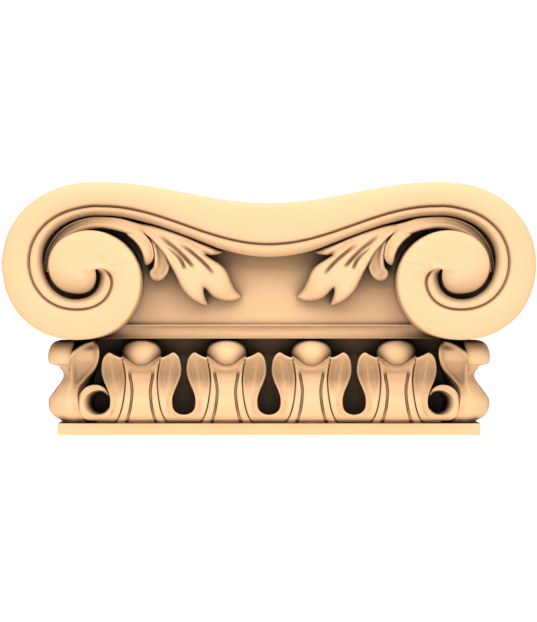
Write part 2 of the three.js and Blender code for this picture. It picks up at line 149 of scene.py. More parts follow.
def evenly(points, spacing):  # the same open line with points an even distance apart
    steps = np.r_[0, np.cumsum(np.linalg.norm(np.diff(points, axis=0), axis=1))]
    places = np.linspace(0, steps[-1], max(int(round(steps[-1] / spacing)), 1) + 1)
    return np.stack([np.interp(places, steps, points[:, axis]) for axis in range(points.shape[1])], 1)


def stroke(points, spacing):  # a smooth stroke of an outline, without its last point
    return evenly(throughPoints(points)(np.linspace(0, 1, 24 * len(points))), spacing)[:-1]


def distanceTo(line, points, closed=False):
    starts, ends = (line, np.roll(line, -1, axis=0)) if closed else (line[:-1], line[1:])
    along = ends - starts
    nearest = np.full(len(points), np.inf)
    for first in range(0, len(points), 2000):
        here = points[first:first + 2000, None, :] - starts[None]
        t = np.clip((here * along).sum(2) / (along**2).sum(1), 0, 1)
        gap = np.linalg.norm(here - t[..., None] * along, axis=2)
        nearest[first:first + 2000] = gap.min(1)
    return nearest


def inside(outline, points):  # which points lie within a closed outline
    ahead = np.roll(outline, -1, axis=0)
    x, y = points[:, :1], points[:, 1:]
    crossing = (outline[:, 1] > y) != (ahead[:, 1] > y)
    rise = np.where(ahead[:, 1] == outline[:, 1], 1e-9, ahead[:, 1] - outline[:, 1])
    reach = outline[:, 0] + (y - outline[:, 1]) / rise * (ahead[:, 0] - outline[:, 0])
    return (crossing & (x < reach)).sum(1) % 2 == 1


def beside(line, offsets, spacing=0.55):  # rows of points beside a line, so that the facets follow a groove
    line = evenly(line, spacing)
    run = np.gradient(line, axis=0)
    across = np.stack([-run[:, 1], run[:, 0]], 1) / np.linalg.norm(run, axis=1)[:, None]
    return np.concatenate([line + across * offset for offset in offsets])


def patch(outline, spacing, edgeRows, followed=()):  # flat points and triangles inside an outline
    low, high = outline.min(0), outline.max(0)
    stepY = spacing * math.sqrt(3) / 2
    rows = np.arange(low[1], high[1], stepY)
    columns = np.arange(low[0], high[0], spacing)
    grid = np.array([[x + spacing / 2 * (j % 2), y] for j, y in enumerate(rows) for x in columns])
    run = np.roll(outline, -1, axis=0) - np.roll(outline, 1, axis=0)
    normal = np.stack([-run[:, 1], run[:, 0]], 1) / np.linalg.norm(run, axis=1)[:, None]
    area = (outline[:, 0] * np.roll(outline[:, 1], -1) - outline[:, 1] * np.roll(outline[:, 0], -1)).sum()
    inward = normal * (1 if area > 0 else -1)
    kept = [outline]
    for depth in edgeRows:
        row = outline + inward * depth
        kept.append(row[(distanceTo(outline, row, True) > depth * 0.93) & inside(outline, row)])
    for line in followed:
        line = line[(distanceTo(outline, line, True) > edgeRows[-1] + 0.15) & inside(outline, line)]
        kept.append(line)
    taken = np.concatenate(kept)
    grid = grid[inside(outline, grid)]
    clear = np.full(len(grid), True)
    for first in range(0, len(grid), 1000):
        near = grid[first:first + 1000, None, :] - taken[None]
        clear[first:first + 1000] = (near**2).sum(2).min(1) > (0.62 * spacing)**2
    grid = grid[clear]
    grid = grid[distanceTo(outline, grid, True) > edgeRows[-1] + 0.2]
    points = np.concatenate([taken, grid])
    border = len(outline)
    closed = [(i, (i + 1) % border) for i in range(border)]
    result = delaunay_2d_cdt([tuple(p) for p in points], closed, [], 0, 1e-4, False)
    flat, triangles = np.array([tuple(v) for v in result[0]]), np.array(result[2])
    triangles = triangles[inside(outline, flat[triangles].mean(1))]
    used, triangles = np.unique(triangles, return_inverse=True)
    return flat[used], triangles.reshape(-1, 3)


def patchSolid(name, triangles, front, back, collection):  # places are in metres already
    count = len(front)
    edges = np.concatenate([triangles[:, [0, 1]], triangles[:, [1, 2]], triangles[:, [2, 0]]])
    seen = {tuple(edge) for edge in edges.tolist()}
    rim = [(a, b) for a, b in seen if (b, a) not in seen]
    sides = [[b, a, a + count, b + count] for a, b in rim]
    faces = triangles.tolist() + (triangles[:, ::-1] + count).tolist() + sides
    return solid(name, np.concatenate([front, back]), faces, collection)


bodyParts = bpy.data.collections.new("bodyParts")
unitParts = bpy.data.collections.new("unitParts")

# The scroll band: millimetres, and degrees round the volute
scrollSettings = {
    "faceOut": 75.0, "crown": 1.0, "centreX": 98.0, "centreZ": 82.2, "humpX": 84.0,
    "groundOut": 58.0, "channelOut": 63.0, "backOut": 53.0,
    "saddleRows": 48, "voluteRows": 170, "spokes": 130,
    "quirkDepth": 2.3, "beadDepth": 1.4, "draft": 2.0, "joint": 368.0, "lap": 6.0,
}
faceOut, crown = scrollSettings["faceOut"], scrollSettings["crown"]
centreX, centreZ, humpX = scrollSettings["centreX"], scrollSettings["centreZ"], scrollSettings["humpX"]
groundOut, channelOut, backOut = (scrollSettings[key] for key in ("groundOut", "channelOut", "backOut"))


def saddle(middle, hump):
    rise = hump - middle
    return lambda x: middle + rise * (1 - np.cos(math.pi * np.minimum(np.abs(x) / humpX, 1))) / 2


# Radii about the volute's eye, by degrees round from the level line that points to the middle
edgeRadius = throughStops([
    [72.5, 46.65], [90, 43.5], [135, 38.9], [180, 35.4], [225, 34.6], [270, 34.4], [315, 36.1], [360, 33.2],
    [405, 25.6], [450, 18.9], [495, 14.9], [540, 12.3], [585, 11.3], [630, 11.2], [675, 13], [720, 11.1]])
bandRadius = throughStops([
    [67.1, 36], [90, 31.5], [135, 26.5], [180, 22.5], [225, 20.5], [270, 20], [315, 22], [340, 21.2],
    [352, 19.6], [360, 17.2], [366, 14], [368, 13]])
beadRadius = throughStops([
    [63.2, 31], [90, 25.5], [135, 19.3], [180, 14.5], [225, 13.5], [270, 14], [315, 15], [340, 14],
    [360, 12.6], [368, 12]])
topSaddle, bandSaddle, beadSaddle = saddle(116.2, 126.7), saddle(96.4, 115.4), saddle(89.3, 109.9)


def aroundEye(side, angle, radius):
    turn = np.radians(angle)
    return side * (centreX - radius * np.cos(turn)), centreZ + radius * np.sin(turn)


def scrollLine(height, radius, firstAngle, lastAngle, side):  # over the hump and round the volute
    x = np.linspace(0, humpX, scrollSettings["saddleRows"], endpoint=False)
    angle = np.linspace(firstAngle, lastAngle, scrollSettings["voluteRows"])
    around = np.stack(aroundEye(side, angle, radius(angle)), 1)
    line = np.concatenate([np.stack([side * x, height(x)], 1), around])
    return line, np.r_[np.full(len(x), firstAngle), angle]


def acrossBand(width, fade):  # distances from the band's top edge, and heights against the face
    edgeSteps = np.array([0, 0.15, 0.4, 0.8])
    d = np.r_[edgeSteps, np.linspace(0.8, width - 0.8, 11)[1:-1], width - edgeSteps[::-1]]
    w = d / width
    arch = crown * (1 - (2 * w - 1)**2)
    arch = np.where(w > 0.5, crown - (crown - arch) * fade, arch)
    edge = np.minimum(d, (width - d) / max(fade, 0.02))
    return d, arch - 0.6 * (1 - np.minimum(edge / 0.8, 1))**2


def acrossBead(width, fade):  # the quirk, then the bead down to the channel
    d = np.r_[0.15, 0.45, 0.85, 1.15, np.linspace(1.4, width, 10)]
    w = d / width
    bead = -scrollSettings["beadDepth"] - 0.5 * (1 - np.minimum(w / 0.4, 1))**2
    bead = bead - 4.5 * (np.maximum(w - 0.4, 0) / 0.6)**2
    cut = np.interp(d, [0, 0.15, 0.45, 0.85, 1.15, 1.4], [0.3, 0.75, 1, 1, 0.85, 0])
    quirk = -scrollSettings["quirkDepth"] * cut
    return d, lerp(crown, np.where(d < 1.3, quirk, bead), fade)


def scrollSheet():
    joint, lap = scrollSettings["joint"], scrollSettings["lap"]
    halves = []
    for side in (-1, 1):
        top, angle = scrollLine(topSaddle, edgeRadius, 72.5, joint + lap, side)
        band, _ = scrollLine(bandSaddle, bandRadius, 67.1, joint + lap, side)
        bead, _ = scrollLine(beadSaddle, beadRadius, 63.2, joint + lap, side)
        ahead, behind = [], []
        for a, b, c, turn in zip(top, band, bead, angle):
            bandWidth, beadWidth = np.linalg.norm(b - a), max(np.linalg.norm(c - b), 1.8)
            fade = float(1 - smoothStep(joint - 13, joint - 1, turn))
            sink = 0.6 * max(turn - joint, 0) / lap
            d1, h1 = acrossBand(bandWidth, fade)
            d2, h2 = acrossBead(beadWidth, fade)
            overBand = a + (b - a) * (d1 / bandWidth)[:, None]
            overBead = b + (c - b) * (d2 / beadWidth)[:, None]
            flat = np.concatenate([overBand, overBead])
            ahead.append(np.stack([flat[:, 0], faceOut + np.r_[h1, h2] - sink, flat[:, 1]], 1))
            outward = a - np.array([side * centreX, centreZ])
            outward /= np.linalg.norm(outward)
            draft = scrollSettings["draft"] * float(smoothStep(275, 315, turn))
            flat = flat + outward * draft * np.linspace(1, 0, len(flat))[:, None]**3
            behind.append(np.stack([flat[:, 0], np.full(len(flat), backOut), flat[:, 1]], 1))
        halves.append((np.array(ahead), np.array(behind)))
    front, back = (np.concatenate([halves[0][i][::-1], halves[1][i][1:]]) for i in (0, 1))
    return sheetSolid("scroll", front, back, bodyParts)


def voluteEye(side):
    start = scrollSettings["joint"] - 360
    angles = np.r_[start - 1.5, np.linspace(start, start + 358.5, scrollSettings["spokes"], endpoint=False)]
    radius = edgeRadius(360 + np.maximum(angles, start))
    roll = throughStops([
        [0, 0], [90, 0], [150, 0.8], [180, 1.5], [225, 3.5], [270, 4.5], [315, 4.5], [345, 2.5], [365, 0]])
    ending = 1 - smoothStep(333, 365, angles)

    def height(r):
        e = radius - r
        arch = crown * (1 - (1 - np.minimum(e / 10.1, 1))**2 * ending)
        edge = 0.6 * (1 - np.minimum(e / 0.8, 1))**2 * ending
        fall = roll(angles) * (1 - np.minimum(e / 11, 1))**2
        x, z = -r * np.cos(np.radians(angles)), r * np.sin(np.radians(angles))
        dimple = 0.7 * np.exp(-(((x + 14)**2 + (z - 5)**2) / 2**2))
        early = 0.4 * (angles < start) * smoothStep(11.3, 12.3, r)  # tucked under the end of the band
        return faceOut + arch - edge - fall - dimple - early

    draft = scrollSettings["draft"] * (1 - smoothStep(28, 68, angles))
    x, z = aroundEye(side, angles, radius + draft)
    rings = [np.stack([x, np.full_like(x, backOut), z], 1)]
    core = 9.6  # inside this every spoke has its points at the same radii
    steps = [radius - e for e in (0, 0.15, 0.4, 0.8)]
    steps += [lerp(radius - 0.8, core, t) for t in np.linspace(0, 1, 13)[1:]]
    steps += [np.full_like(radius, core * share) for share in np.linspace(1, 0, 10)[1:-1]]
    for r in steps:
        x, z = aroundEye(side, angles, r)
        rings.append(np.stack([x, height(r), z], 1))
    centre = (side * centreX, backOut, centreZ), (side * centreX, faceOut + crown, centreZ)
    return ringSolid("eye", rings, *centre, bodyParts)


# The bolsters behind the volutes, the block between them and the cavetto below; the waists are how far
# the sides are drawn in at each distance from the wall
blockSettings = {
    "halfWidth": 98.0, "topHalfWidth": 92.0, "cavettoTop": 55.5, "cavettoBottom": 48.5,
    "rearWaist": [[0, 1.8], [12, 2.6], [25, 4.4]], "frontWaist": [[33, 4.4], [46, 2.8], [54, 1.8]],
    "waistBand": [[26, 3.5], [26.6, 3.1], [29, 2.9], [31.4, 3.1], [32, 3.5]],
    "spokes": 120, "saddleSteps": 90,
}


def waistRings(last):
    band = [out for out, _ in blockSettings["waistBand"]]
    outs = {"rearWaist": np.linspace(0, 25, 9), "waistBand": band, "frontWaist": np.linspace(33, 54, 8)}
    smooth = {name: throughStops(blockSettings[name]) for name in outs}
    return [(out, float(smooth[name](out))) for name in outs for out in outs[name]] + [last]


def voluteRadius(angle):  # the whole volute's outline, its open side closed inside the middle block
    closing = lerp(edgeRadius(405), edgeRadius(72.5), (angle - 45) / 27)
    return np.where(angle < 45, edgeRadius(360 + angle), np.where(angle < 72, closing, edgeRadius(angle)))


def bolster(side):
    angles = np.linspace(0, 360, blockSettings["spokes"], endpoint=False)
    rings = []
    for out, inset in waistRings((channelOut, 0.8)):
        x, z = aroundEye(side, angles, voluteRadius(angles) - inset)
        rings.append(np.stack([x, np.full_like(x, out), z], 1))
    ends = (side * centreX, 0, centreZ), (side * centreX, channelOut, centreZ)
    return ringSolid("bolster", rings, *ends, bodyParts)


def middleBlock():
    half, topHalf = blockSettings["halfWidth"], blockSettings["topHalfWidth"]
    foot = blockSettings["cavettoTop"] - 4
    rings = []
    for out, inset in waistRings((groundOut, 1.8)):
        x = np.linspace(topHalf, -topHalf, blockSettings["saddleSteps"])
        line = np.stack([x, np.full_like(x, out), topSaddle(x) - inset], 1)
        rings.append(np.concatenate([[[-half, out, foot], [half, out, foot]], line]))
    return ringSolid("middleBlock", rings, (0, 0, centreZ), (0, groundOut, centreZ), bodyParts)


def cavetto():
    half, bottom = blockSettings["halfWidth"], blockSettings["cavettoBottom"]
    profile = [  # distance in front of the ground, and height
        [-2, 7], [1.7, 6.95], [2, 6.8], [2, 6.4], [1.6, 6.1], [0.7, 5.4], [0.3, 4.5], [0.3, 3.5],
        [0.7, 2.4], [1.5, 1.4], [2.6, 0.6], [3.4, 0.2], [3.5, 0]]
    front = np.array([[[x, groundOut + proud, bottom + z] for x in (-half, half)] for proud, z in profile])
    back = front.copy()
    back[:, :, 1] = 0
    return sheetSolid("cavetto", front, back, bodyParts)


def box(name, x0, x1, out0, out1, z0, z1, easing=0.0):  # easing rounds the front corners a little
    e = easing
    section = [[out0, z0], [out1, z0], [out1, z1], [out0, z1]]
    steps = [[x0, 0], [x1, 0]]
    if e:
        section = [[out0, z0], [out1 - e, z0], [out1, z0 + e], [out1, z1 - e], [out1 - e, z1], [out0, z1]]
        steps = [[x0, e], [x0 + e, 0], [x1 - e, 0], [x1, e]]
    rings = [[[x, min(out, out1 - inset), z] for out, z in section] for x, inset in steps]
    middle = [(out0 + out1) / 2, (z0 + z1) / 2]
    return ringSolid(name, rings, (x0, *middle), (x1, *middle), bodyParts)


# The acanthus leaves, drawn as (x, z) for the right-hand side; the other side mirrors them
leafSettings = {"spacing": 0.62, "edgeRows": [0.12, 0.35, 0.75], "rootOut": 54.0}


def leafPatch(name, side, outline, followed, height):
    flat, triangles = patch(outline, leafSettings["spacing"], leafSettings["edgeRows"], followed)
    edge = distanceTo(outline, flat, True)
    out = height(flat[:, 0], flat[:, 1], edge)
    front = np.stack([side * flat[:, 0], out, flat[:, 1]], 1)
    back = front.copy()
    back[:, 1] = leafSettings["rootOut"]
    return patchSolid(name, triangles, toFrame(front), toFrame(back), bodyParts)


def crisp(edge, depth=0.8, width=0.9):  # a rounded edge along an outline
    return depth * (1 - np.minimum(edge / width, 1))**2


veins = [  # each is a pair of grooves with a fine ridge between
    [[51.1, 94.5], [47.1, 91.1], [44.1, 87.4], [42.7, 84.7], [42.1, 82.7]],
    [[55.1, 99.8], [47.8, 94.1], [43.1, 89.8], [39.7, 86.1], [37.7, 83.7]],
    [[44.7, 95.8], [39.1, 91.8], [34.4, 87.8], [30.3, 83.7], [27.7, 80.1]]]


def nearLine(line, x, z):  # distance to a line, and the share along it
    points = np.stack([x, z], 1)
    starts, along = line[:-1], np.diff(line, axis=0)
    here = points[:, None, :] - starts[None]
    t = np.clip((here * along).sum(2) / (along**2).sum(1), 0, 1)
    gap = np.linalg.norm(here - t[..., None] * along, axis=2)
    best = gap.argmin(1)
    rows = np.arange(len(points))
    return gap[rows, best], (best + t[rows, best]) / len(starts)


def vein(line, x, z, depth, width):
    gap, share = nearLine(line, x, z)
    taper = np.clip(np.minimum(share / 0.25, (1 - share) / 0.3), 0, 1)
    taper = np.sqrt(taper) * (gap < 4)
    across = np.clip(gap / width, 0, 1)
    trough = (1 + np.cos(math.pi * across)) / 2
    ridge = 0.45 * np.clip(1 - gap / (0.33 * width), 0, 1)
    return depth * taper * (trough - ridge)


def blade(side):
    spacing = 0.55
    strokes = [
        [[66, 106.2], [59.5, 105.1], [52, 102.9], [44, 100], [36, 96.7], [29, 94.1], [22.9, 92.4]],
        [[22.9, 92.4], [24, 91.1], [26.7, 90.4], [29, 90.2], [31.4, 90.3]],
        [[31.4, 90.3], [29.3, 88.5], [24.3, 85.4], [21.3, 82], [19.3, 77.4], [17, 73], [13.9, 70]],
        [[13.9, 70], [13.7, 69.4], [14.9, 68.4], [17.6, 67.5], [22.6, 67.6], [26.7, 68.8], [29.3, 70.7],
         [31, 72.7], [32.5, 73.9]],
        [[32.5, 73.9], [32.7, 71.7], [31.8, 68.3], [30.7, 65.9]],
        [[30.7, 65.9], [30.9, 65.2], [32, 65.1], [35, 66.3], [39, 68.7], [43.1, 73], [45.7, 78],
         [47.4, 81.7], [49.1, 84.7], [50.1, 86.8]],
        [[50.1, 86.8], [51.8, 90.1], [54.5, 93.5], [57.8, 97.1], [61.2, 100.2], [66, 103]],
        [[66, 103], [66.4, 104.6], [66, 106.2]]]
    outline = np.concatenate([stroke(points, spacing) for points in strokes])
    lines = [throughPoints(points)(np.linspace(0, 1, 60)) for points in veins]
    followed = [beside(line, [-1.1, -0.75, -0.4, 0, 0.4, 0.75, 1.1]) for line in lines]
    valley = throughPoints([[48, 99.4], [41.75, 96.6], [36, 93.4], [31.2, 90.4]])(np.linspace(0, 1, 40))
    ridgePoints = [[50.6, 86.8], [52.6, 90.1], [55.4, 93.5], [58.8, 97.1], [62, 100.2]]
    ridge = throughPoints(ridgePoints)(np.linspace(0, 1, 30))

    def height(x, z, edge):
        along = (60 - x) * 0.727 + (103 - z) * 0.686
        arch = [[-6, 69], [0, 70.6], [10, 71.2], [22, 72], [34, 71.3], [44, 69.3], [52, 66.5]]
        base = throughStops(arch)(along)
        for line, depth, width in zip(lines, (2.1, 2.5, 2.4), (1.35, 1.5, 1.5)):
            base = base - vein(line, x, z, depth, width)
        gap, share = nearLine(valley, x, z)
        base = base - 1.4 * np.exp(-(gap / 1.4)**2) * np.clip(share * 3, 0, 1)
        gap, share = nearLine(ridge, x, z)
        base = base + 0.6 * np.exp(-(gap / 0.9)**2) - 0.5 * np.exp(-((gap - 2.4) / 1.1)**2)
        for tipX, tipZ, drop, reach in ((30.8, 65.4, 3.2, 10), (13.8, 69.6, 3.2, 12), (21.5, 92.6, 7, 9)):
            base = base - drop * np.clip(1 - np.hypot(x - tipX, z - tipZ) / reach, 0, 1)**2
        roll = 1.6 * np.clip(1 - edge / 4.5, 0, 1)**2 * smoothStep(16, 30, along)
        return base - roll - crisp(edge, 1.2, 1.1)
    return leafPatch("blade", side, outline, followed, height)


def tongue(side):
    strokes = [
        [[64, 103.5], [60.5, 100], [58.4, 95.1], [57.6, 90.1], [57.5, 87.4], [58.1, 84.1], [59.7, 82],
         [59.8, 80], [58.5, 78], [55.8, 77.3], [53.1, 78.3], [51.1, 80.7], [50, 83.4], [49.7, 86.1]],
        [[49.7, 86.1], [51, 90.5], [54, 94.5], [57.5, 98], [62, 101.5], [64, 103.5]]]
    outline = np.concatenate([stroke(points, 0.5) for points in strokes])
    ridgePoints = [[50.1, 86.8], [51.8, 90.1], [54.5, 93.5], [57.8, 97.1], [61.2, 100.2]]
    ridge = throughPoints(ridgePoints)(np.linspace(0, 1, 30))

    def height(x, z, edge):
        base = throughStops([[77, 63.8], [80, 66.6], [85, 68.4], [92, 69.2], [100, 69.8]])(z)
        spoon = 1.7 * smoothStep(0.9, 3.4, edge) * (1 - smoothStep(90, 101, z))
        streak = 0.7 * np.exp(-((x - lerp(55.2, 57.2, np.clip((z - 80) / 14, 0, 1))) / 1.5)**2)
        gap, _ = nearLine(ridge, x, z)
        under = 1.2 * np.exp(-(gap / 1.2)**2)
        return base - spoon + streak - under - crisp(edge, 0.5, 0.6)
    return leafPatch("tongue", side, outline, [], height)


def firstLobe(side):
    strokes = [
        [[72, 103], [71, 100.3], [67.5, 97.3], [64.8, 93.8], [63.2, 90], [62.5, 86.4], [61.6, 85.2],
         [60.2, 85.5], [58.8, 86.8], [58, 88.4], [57.7, 90.4], [58.1, 93.5], [58.8, 95.8], [60.5, 98.5],
         [62.5, 100.8], [65, 103.5]],
        [[65, 103.5], [69, 104.3], [72, 103]]]
    outline = np.concatenate([stroke(points, 0.5) for points in strokes])

    def height(x, z, edge):
        base = throughStops([[85, 67.5], [88, 70], [93, 70.9], [100, 70.7], [104, 69.6]])(z)
        return base - 0.7 * smoothStep(0.7, 2, edge) * (1 - smoothStep(94, 101, z)) - crisp(edge, 0.7, 0.8)
    return leafPatch("firstLobe", side, outline, [], height)


def stem(side):
    upper = throughPoints([
        [112.8, 82], [112.4, 87], [110.4, 94.5], [105.2, 101.9], [98.3, 106.6], [90.4, 109], [82.5, 109.3],
        [74.6, 108.6], [68, 106.8], [62, 105.2]])
    lower = throughPoints([
        [110.2, 81.5], [109.2, 86], [107.3, 91.4], [103.6, 95.6], [98.3, 99.3], [93, 101.9], [85.2, 103.5],
        [77, 102.6], [72, 101.2], [67, 99.5], [63, 98]])
    v = np.linspace(0, 1, 110)
    u = np.r_[0, 0.03, 0.07, np.linspace(0.12, 0.9, 14), 0.95, 0.98, 1]
    a, b = upper(v)[:, None], lower(v)[:, None]
    flat = lerp(a, b, u[None, :, None])
    width = np.linalg.norm(b - a, axis=2)
    level = throughStops([[0, 68.3], [0.15, 68.6], [0.35, 69.2], [0.6, 70.1], [0.8, 70.6], [1, 69.5]])(v)
    hollow = throughStops([[0, 1.6], [0.35, 1.8], [0.6, 0.8], [0.8, 0.3], [1, 0.3]])(v)
    trough = -hollow[:, None] * np.sin(math.pi * np.clip(u / 0.6, 0, 1))**2
    roll = 0.5 * np.sin(math.pi * np.clip((u - 0.45) / 0.55, 0, 1))
    edge = np.minimum(u, 1 - u) * width
    out = level[:, None] + trough + roll - crisp(edge, 0.6, 0.6)
    front = np.stack([side * flat[..., 0], out, flat[..., 1]], -1)
    back = front.copy()
    back[..., 1] = leafSettings["rootOut"]
    return sheetSolid("stem", front, back, bodyParts)


# The egg-and-leaf course and its fillet
courseSettings = {
    "filletHalfWidth": 106.0, "filletOut": 64.0, "filletTop": 5.9, "cornerRadius": 9.0, "bedInset": 16.0,
    "pitch": 42.7, "units": 6, "spacing": 0.8, "edgeRows": [0.12, 0.35, 0.75],
    "eggHalfWidth": 10.1, "eggHalfHeight": 7.6, "eggReach": 8.5, "eggZ": 41.0, "eggBack": 8.6,
    "creaseDegrees": 38, "filletEasing": 0.25,
    "soffit": {"inner": 88, "outer": 101, "out": 52, "low": 46.5, "high": 50.5},
}
filletHalfWidth, filletOut = courseSettings["filletHalfWidth"], courseSettings["filletOut"]
cornerRadius, bedInset, pitch = (courseSettings[key] for key in ("cornerRadius", "bedInset", "pitch"))
straight = filletHalfWidth - cornerRadius
cornerLength = cornerRadius * math.pi / 2
cornerMiddle = straight + cornerLength / 2
cornerStep = 2 * cornerMiddle - 4 * pitch  # how much of the course a corner leaf takes

# How far the carving stands proud of the fillet, from its foot to the flaring tips
profileProud = throughStops([
    [7, -2.4], [8.9, 0.8], [11.3, 3.2], [14.8, 4.3], [18.3, 4], [21.8, 1.5], [25.7, -1.3], [28.5, -3],
    [31, -3], [34.5, -1], [38, 2.2], [41.5, 3.6], [47.5, 4.5]])


def roundCourse(along, proud, z):  # a place round the course, from the middle of the front
    side, run = np.sign(along), np.abs(along)
    angle = np.clip((run - straight) / cornerRadius, 0, math.pi / 2)
    past = np.maximum(run - straight - cornerLength, 0)
    reach = cornerRadius + proud
    x = np.minimum(run, straight) + reach * np.sin(angle)
    out = filletOut - cornerRadius - past + reach * np.cos(angle)
    return np.stack([side * x, out, z + 0 * x], -1)


def unitPlace(along, proud, z):  # a unit's own frame in metres: X along, its front facing -Y
    return np.stack([along, -proud, z + 0 * along], -1) / 1000


# Distances of the grooves from the middle of a unit, by height
outerGroove = throughStops([
    [5, 13.4], [7, 12.4], [10, 10.8], [14.35, 9.4], [22.75, 8.2], [29.75, 8.05], [37.8, 9.4], [41, 10.2]])
innerGroove = throughStops([
    [5, 7.9], [6.3, 7.4], [10, 6.3], [14.4, 5.3], [21.3, 4.6], [25, 4.9], [30, 5.8], [34, 6.0]])


def lipHeight(x):
    return 32.8 + 5.7 * (np.abs(x) / 9.4)**2.6


def archHeight(x):
    return 36.2 + 3.1 * (np.abs(x) / 9)**2


def unitOutline():  # round the calyx's arch, a lobe, the gap beside it and the foot, then mirrored
    s = np.linspace(0, 9.9, 18)
    arch = np.stack([s, archHeight(s) + 0.15], 1)
    lobe = [
        [13.5, 40.1], [15.2, 41.1], [16.4, 41.3], [17.8, 40.3], [19.2, 37.9], [20, 33.5], [19.7, 30],
        [18.5, 26.4], [16.9, 22.8], [15.9, 20], [15.5, 17.5], [15.6, 15], [16.1, 13.1], [17.2, 11.6],
        [18.9, 10.6], [20.5, 10.2], [22.2, 10.15]]
    foot = [[22.2, 10.15], [22.2, 6.3]], [[22.2, 6.3], [13.1, 6.3]]
    right = [evenly(arch, 0.6)[:-1], stroke([[9.9, 38.9], [11, 39], [13.5, 40.1]], 0.5), stroke(lobe, 0.5)]
    right += [evenly(np.array(line), 0.6)[:-1] for line in foot]
    right.append(evenly(np.array([[13.1, 6.3], [13.3, 5.4], [0, 5.4]]), 0.6))
    half = np.concatenate(right)
    return np.concatenate([half, half[1:-1][::-1] * [-1, 1]])


def unitProud(x, z, edge):
    r = np.abs(x)
    outer, inner = outerGroove(z), innerGroove(z)
    base = profileProud(z)
    inCalyx = r < outer
    # The calyx is a middle panel between two ribs
    rib = (r - inner) / np.maximum(outer - inner, 0.1)
    ribHeight = 0.55 * (1 - (2 * np.clip(rib, 0, 1) - 1)**2) * (r > inner)
    neck = 1.1 * (1 - (r / inner)**4) * np.exp(-((z - 30.5) / 3)**2)
    panel = (0.35 * (1 - (r / inner)**2) - neck) * (r <= inner)
    calyx = base + 0.5 + ribHeight + panel
    for shift in (-0.44, 0.44):  # two fine grooves with a ridge between them
        near = np.clip(np.abs(r - inner - shift) / 0.4, 0, 1)
        calyx = calyx - 0.9 * (1 + np.cos(math.pi * near)) / 2 * (1 - smoothStep(29.5, 33.5, z))
    lip, arch = lipHeight(x), archHeight(x)
    past = np.clip((z - lip) / np.maximum(arch - lip, 0.2), 0, 1.2)
    calyx = calyx - 5.6 * past**0.9 * (z > lip)
    calyx = calyx + 0.35 * np.exp(-((z - lip + 0.5) / 0.9)**2)
    # A lobe is a spoon with a thin rim
    hollow = 2.0 * smoothStep(0.6, 3.4, edge) * smoothStep(0.2, 3.2, r - outer) * smoothStep(18, 26, z)
    streakLine = lerp(12.4, 15.2, np.clip((z - 18) / 18, 0, 1))
    streak = 0.9 * np.exp(-((r - streakLine) / 1.3)**2) * smoothStep(19, 27, z)
    rim = 0.35 * np.exp(-((edge - 0.8) / 0.6)**2)
    dish = 0.9 * np.exp(-((edge - 2.3) / 0.9)**2) * (1 - smoothStep(20, 26, z)) * smoothStep(8, 11, z)
    lobe = base + 0.1 - hollow + streak + rim - dish
    body = np.where(inCalyx, calyx, lobe)
    groove = np.clip(np.abs(r - outer) / 0.45, 0, 1)
    body = body - 0.9 * (1 + np.cos(math.pi * groove)) / 2 * (z < lip + 1.5)
    return body - crisp(edge, 0.5, 0.6) * (z > 7.5) * (r < 21)


def leafUnit():
    outline = unitOutline()
    z = np.linspace(5.6, 38, 60)
    lines = []
    for side in (-1, 1):
        lines.append(beside(np.stack([side * outerGroove(z), z], 1), [-0.45, 0, 0.45]))
        low = z[z < 34]
        lines.append(beside(np.stack([side * innerGroove(low), low], 1), [-0.85, -0.44, 0, 0.44, 0.85]))
    s = np.linspace(-8.6, 8.6, 40)
    lines.append(beside(np.stack([s, lipHeight(s)], 1), [-0.3, 0, 0.3]))
    flat, triangles = patch(outline, courseSettings["spacing"], courseSettings["edgeRows"], lines)
    x, z = flat.T
    front = unitPlace(x, unitProud(x, z, distanceTo(outline, flat, True)), z)
    patchSolid("unitLeaf", triangles, front, unitPlace(x, np.full_like(x, -bedInset), z), unitParts)


def unitEgg():
    halfWidth, halfHeight = courseSettings["eggHalfWidth"], courseSettings["eggHalfHeight"]
    reach, middle, setBack = (courseSettings[key] for key in ("eggReach", "eggZ", "eggBack"))
    angle = np.linspace(0, 2 * math.pi, 56, endpoint=False)
    rings = []
    for lift in np.linspace(-math.pi / 2, math.pi / 2, 30)[1:-1]:
        x = math.cos(lift) * np.cos(angle) * halfWidth
        proud = math.cos(lift) * np.sin(angle) * reach - setBack
        rings.append(np.stack([x, proud, np.full_like(x, middle + math.sin(lift) * halfHeight)], 1))
    ends = (0, -setBack, middle - halfHeight), (0, -setBack, middle + halfHeight)
    ringSolid("unitEgg", rings, *ends, unitParts, lambda p: unitPlace(*np.reshape(p, (-1, 3)).T))


